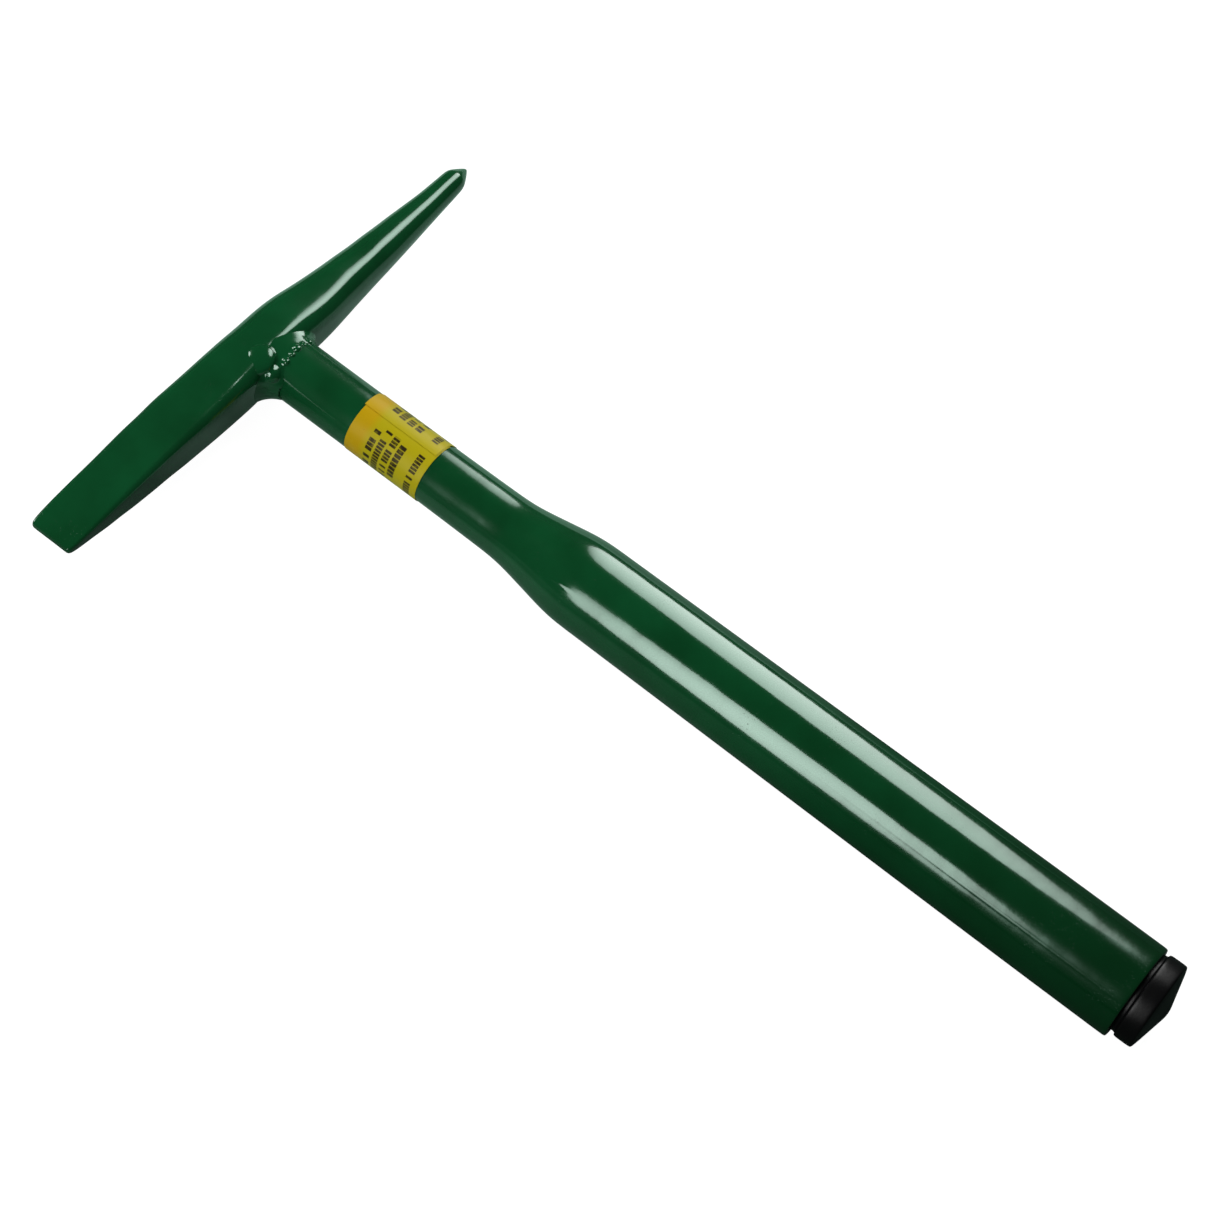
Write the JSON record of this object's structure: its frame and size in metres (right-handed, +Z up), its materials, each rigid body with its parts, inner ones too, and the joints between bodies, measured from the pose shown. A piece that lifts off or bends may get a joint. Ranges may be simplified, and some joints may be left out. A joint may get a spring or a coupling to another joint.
{
  "type": "chipping hammer",
  "caption": "All-steel chipping hammer: forged head with a vertical chisel and a round point, welded to a swaged tube handle with a plug in its butt.",
  "frame": {"origin": "bottom centre of the whole hammer lying on its side, so z = 0 is the surface under the grip", "axes": "+X runs down the handle to the butt, +Y along the head to the point (the chisel is at -Y), +Z up from the surface, square to the head's cheeks"},
  "size_m": [0.3046, 0.1696, 0.0269],
  "materials": {
    "green_enamel": "thick gloss enamel over steel",
    "black_plastic": "moulded, semi-gloss",
    "yellow_film": "printed label film, satin"
  },
  "bodies": {
    "root": {"hammer_head": "green_enamel", "handle_tube": "green_enamel", "weld_bead": "green_enamel", "end_plug": "black_plastic", "label": "yellow_film"}
  },
  "joints": []
}
